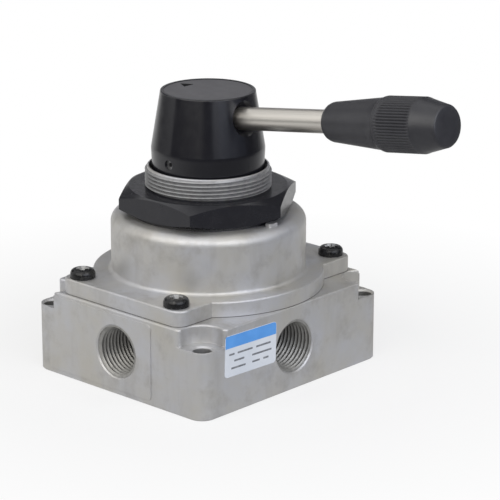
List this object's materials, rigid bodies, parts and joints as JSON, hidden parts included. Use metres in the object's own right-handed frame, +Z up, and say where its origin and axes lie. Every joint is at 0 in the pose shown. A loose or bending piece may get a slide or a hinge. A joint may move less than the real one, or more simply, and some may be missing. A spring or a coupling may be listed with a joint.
{
  "type": "hand lever air valve",
  "caption": "Rotary slide air valve with side pipe ports, a threaded panel collar with hex nut, and a knob with a hand lever that swings between detents.",
  "frame": {"origin": "centre of the flat base, on the axis of the spindle", "axes": "+Z up along the spindle axis, +X along the lever in its middle position"},
  "size_m": [0.1654, 0.1036, 0.1272],
  "materials": {
    "body_casting": "die-cast aluminium, shot blasted, satin",
    "bonnet_casting": "die-cast aluminium, shot blasted, satin",
    "seal_rubber": "black nitrile rubber",
    "seat_plastic": "filled seat plastic, lapped",
    "disc_plastic": "natural acetal, lapped",
    "pin_steel": "ground steel",
    "spring_steel": "drawn spring wire",
    "spindle_steel": "turned steel",
    "bush_brass": "turned bronze",
    "washer_plastic": "acetal",
    "ball_steel": "polished hardened steel",
    "nut_black": "black satin coat",
    "screw_black": "black oxide",
    "knob_plastic": "black moulded plastic, semi-gloss",
    "cap_plastic": "dark grey matte plastic",
    "rod_steel": "stainless steel, brushed",
    "grip_plastic": "charcoal moulded plastic, fine matte",
    "label_film": "printed film, white with a blue band"
  },
  "bodies": {
    "housing": {"valve_body": "body_casting", "port_seal_rings": "seal_rubber", "port_plate": "seat_plastic", "plate_dowels": "pin_steel", "bonnet_seal": "seal_rubber", "bonnet": "bonnet_casting", "collar": "bonnet_casting", "cover_screws": "screw_black", "spindle_bush": "bush_brass", "thrust_washer": "washer_plastic", "detent_springs": "spring_steel", "panel_nut": "nut_black", "rating_label": "label_film"},
    "rotor": {"rotor_disc": "disc_plastic", "disc_spring": "spring_steel", "spindle": "spindle_steel", "drive_pins": "pin_steel", "spindle_seal": "seal_rubber", "knob": "knob_plastic", "knob_cap": "cap_plastic", "knob_set_screw": "screw_black", "lever_rod": "rod_steel", "grip": "grip_plastic"},
    "detent": {"detent_balls": "ball_steel"}
  },
  "joints": [
    {"name": "lever_turn", "type": "hinge", "parent": "housing", "child": "rotor", "pos_m": [0, 0, 0.1011], "axis": [0, 0, 1], "range_deg": [-45, 45]},
    {"name": "detent_drop", "type": "slide", "parent": "housing", "child": "detent", "axis": [0, 0, -1], "range_m": [0, 0.0008], "stiffness_N_per_m": 1000, "springref_m": 0.0008, "deforming": ["detent_springs"]}
  ]
}
